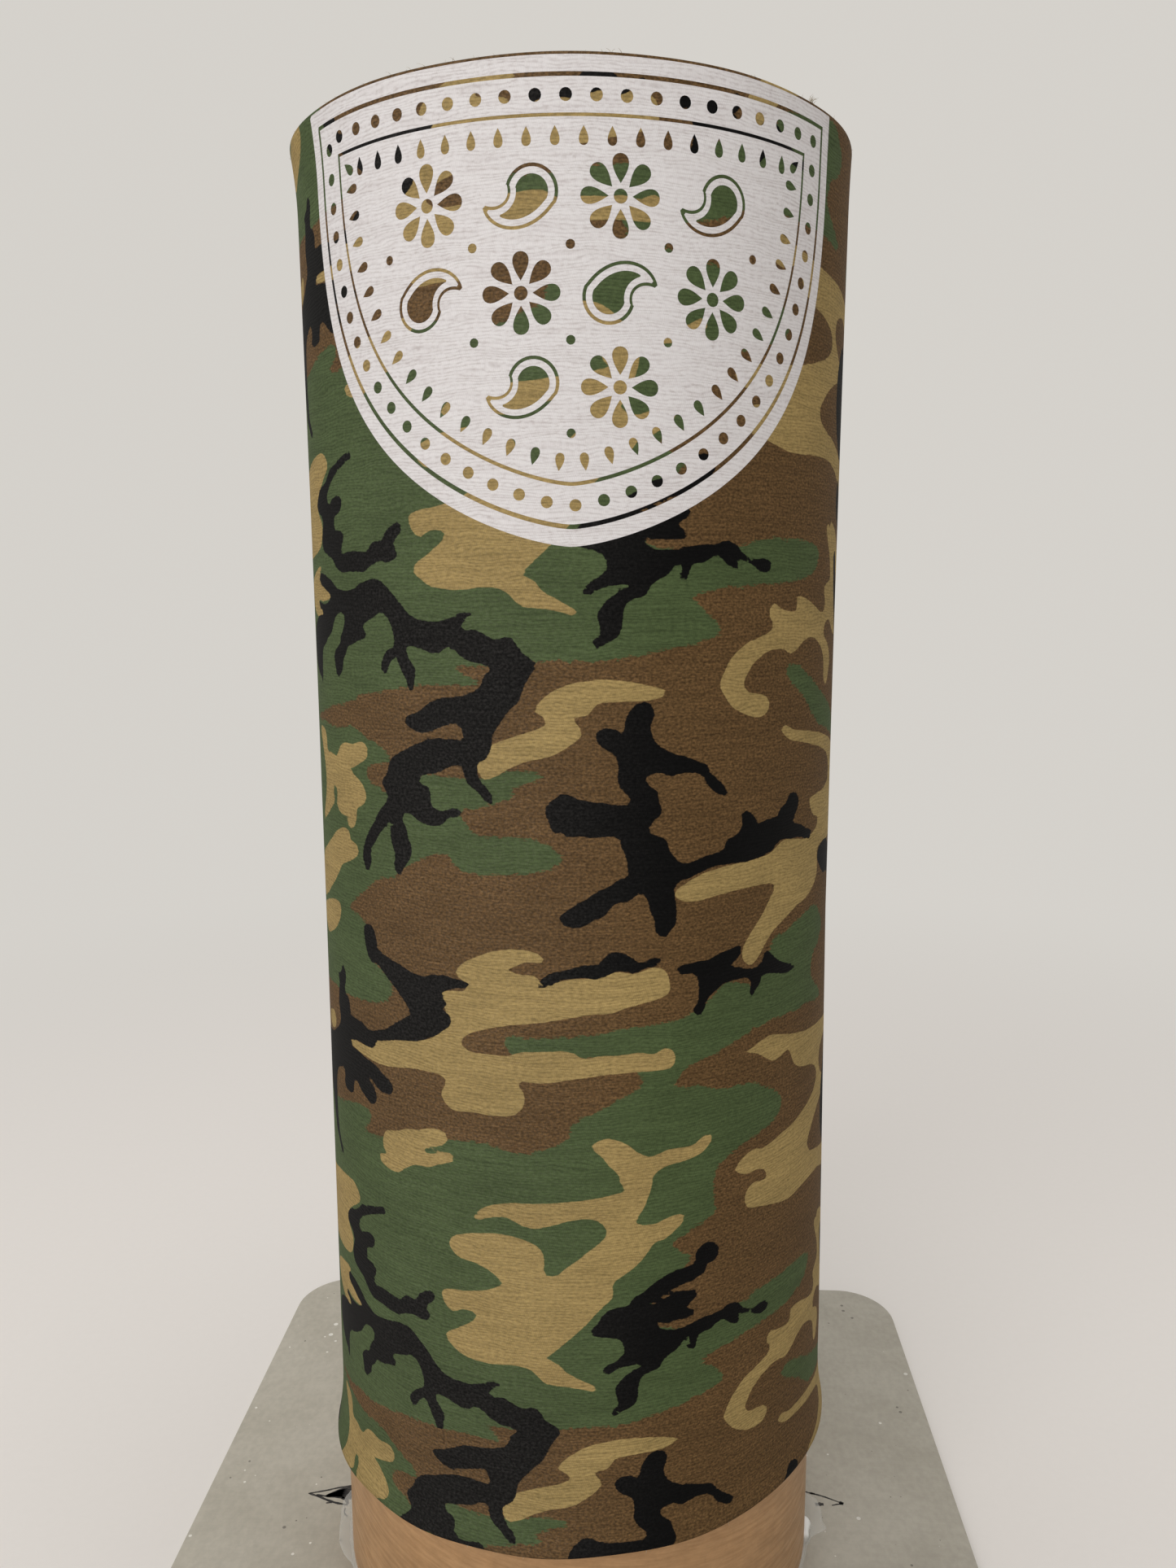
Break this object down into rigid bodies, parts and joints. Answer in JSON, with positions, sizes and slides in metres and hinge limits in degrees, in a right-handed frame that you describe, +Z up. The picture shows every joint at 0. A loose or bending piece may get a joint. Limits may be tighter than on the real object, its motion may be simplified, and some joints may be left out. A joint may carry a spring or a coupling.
{
  "type": "neck gaiter on a display form",
  "caption": "Stretch-knit tube neck gaiter in woodland camouflage with a white front panel, pulled over an upright paperboard form tube glued to a square metal base plate.",
  "frame": {"origin": "middle of the base plate's underside", "axes": "+Z up along the tube's axis; the gaiter's front panel faces -Y; +X is to the right as the front is seen"},
  "size_m": [0.305, 0.305, 0.5065],
  "materials": {
    "plate_metal": "mill-finish sheet, dull, with fine scratches and specks",
    "kraft_board": "satin brown kraft paper with streaks round the tube",
    "clear_glue": "clear hot-melt glue, glossy",
    "camo_knit": "fine matt jersey knit printed with woodland camouflage",
    "white_print": "white panel on the knit, with fine rows of stitches showing",
    "marker_ink": "black marker on metal"
  },
  "bodies": {
    "stand": {"base_plate": "plate_metal", "form_tube": "kraft_board", "glue_bead_left": "clear_glue", "glue_bead_right": "clear_glue"},
    "gaiter": {"gaiter": "camo_knit"}
  },
  "joints": [
    {"name": "gaiter_slide", "type": "slide", "parent": "stand", "child": "gaiter", "axis": [0, 0, 1], "range_m": [-0.045, 0.46]}
  ]
}
